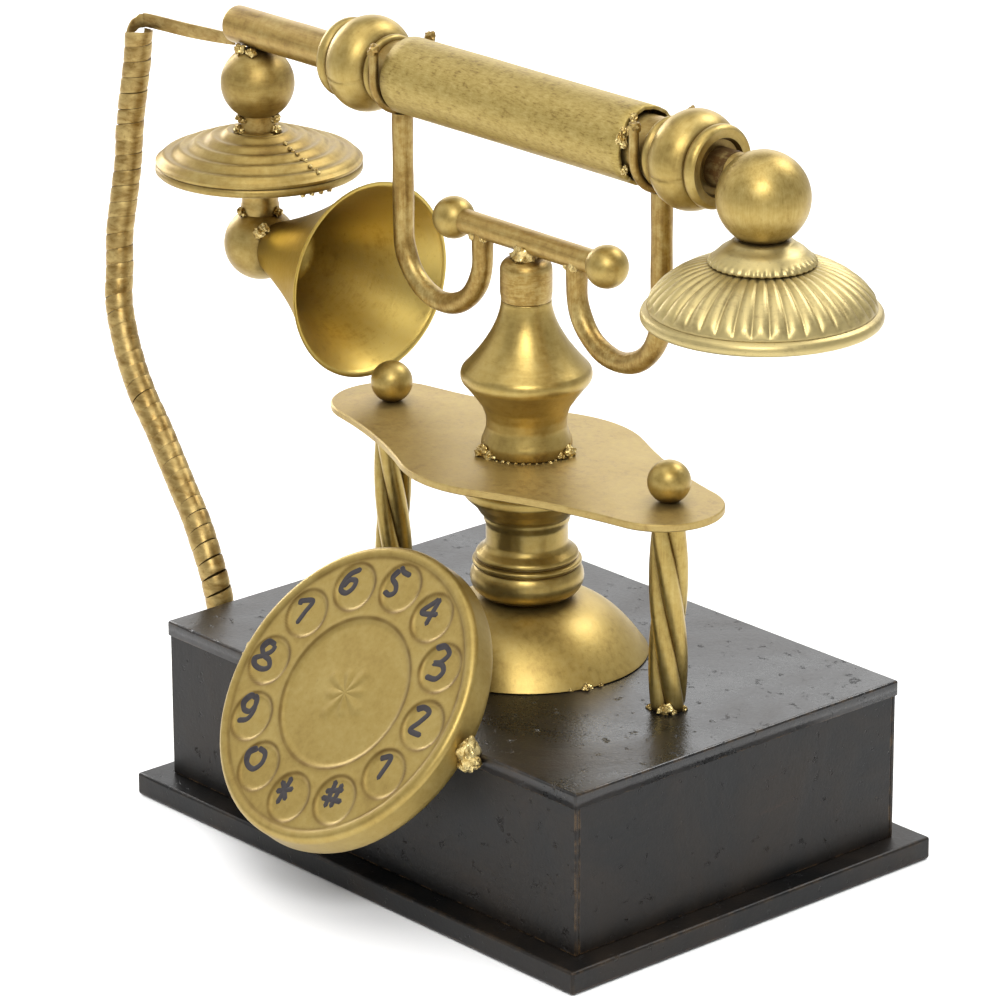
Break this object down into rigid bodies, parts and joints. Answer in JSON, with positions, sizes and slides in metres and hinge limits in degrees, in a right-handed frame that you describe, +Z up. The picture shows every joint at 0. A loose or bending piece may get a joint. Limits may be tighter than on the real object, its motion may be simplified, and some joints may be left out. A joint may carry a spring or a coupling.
{
  "type": "french-style cradle phone",
  "caption": "Vintage cradle telephone: tubular handset with horn and bell, lifting from open forks on a turned column over a black case with a leaning dial.",
  "frame": {"origin": "centre of the plinth's underside, on the surface that the phone stands on", "axes": "+Z up; +X along the case towards the mouthpiece end of the handset; the dial is on the -Y side"},
  "size_m": [0.3366, 0.1888, 0.2618],
  "materials": {
    "antique_gold": "antique gold paint, brushed and speckled, satin",
    "black_case": "brown-black lacquer, satin, pitted and lightly worn",
    "braze_gold": "lumpy braze metal under gold paint, bright",
    "cord_strip_gold": "flat metal strip, darker gold paint, satin"
  },
  "bodies": {
    "root": {"plinth_plate": "black_case", "case_front_panel": "black_case", "case_rear_panel": "black_case", "case_left_panel": "black_case", "case_right_panel": "black_case", "case_lid": "black_case", "dial": "antique_gold", "dial_weld_left": "braze_gold", "dial_weld_right": "braze_gold", "dome_foot": "antique_gold", "lower_column": "antique_gold", "shelf_plate": "antique_gold", "upper_column": "antique_gold", "column_cap": "antique_gold", "cradle_stub": "braze_gold", "twisted_post_left": "antique_gold", "twisted_post_right": "antique_gold", "post_ball_left": "antique_gold", "post_ball_right": "antique_gold", "crossbar": "antique_gold", "crossbar_ball_left": "antique_gold", "crossbar_ball_right": "antique_gold", "cradle_hook_left": "antique_gold", "cradle_hook_right": "antique_gold", "saddle_fork_left": "antique_gold", "saddle_fork_right": "antique_gold", "cord_coil": "cord_strip_gold"},
    "handset": {"core_rod": "antique_gold", "grip_tube": "antique_gold", "neck_sleeve_left": "antique_gold", "neck_sleeve_right": "antique_gold", "collar_left": "antique_gold", "collar_right": "antique_gold", "ear_ball": "antique_gold", "ear_rod": "antique_gold", "ear_disc_upper": "antique_gold", "ear_disc_lower": "antique_gold", "horn_ball": "antique_gold", "horn": "antique_gold", "mouth_ball": "antique_gold", "bell_cap": "antique_gold", "mouth_bell": "antique_gold", "cord_lead": "cord_strip_gold"}
  },
  "joints": [
    {"name": "handset_lift", "type": "slide", "parent": "root", "child": "handset", "axis": [0, 0, 1], "range_m": [0, 0.04], "deforming": ["cord_coil"]}
  ]
}
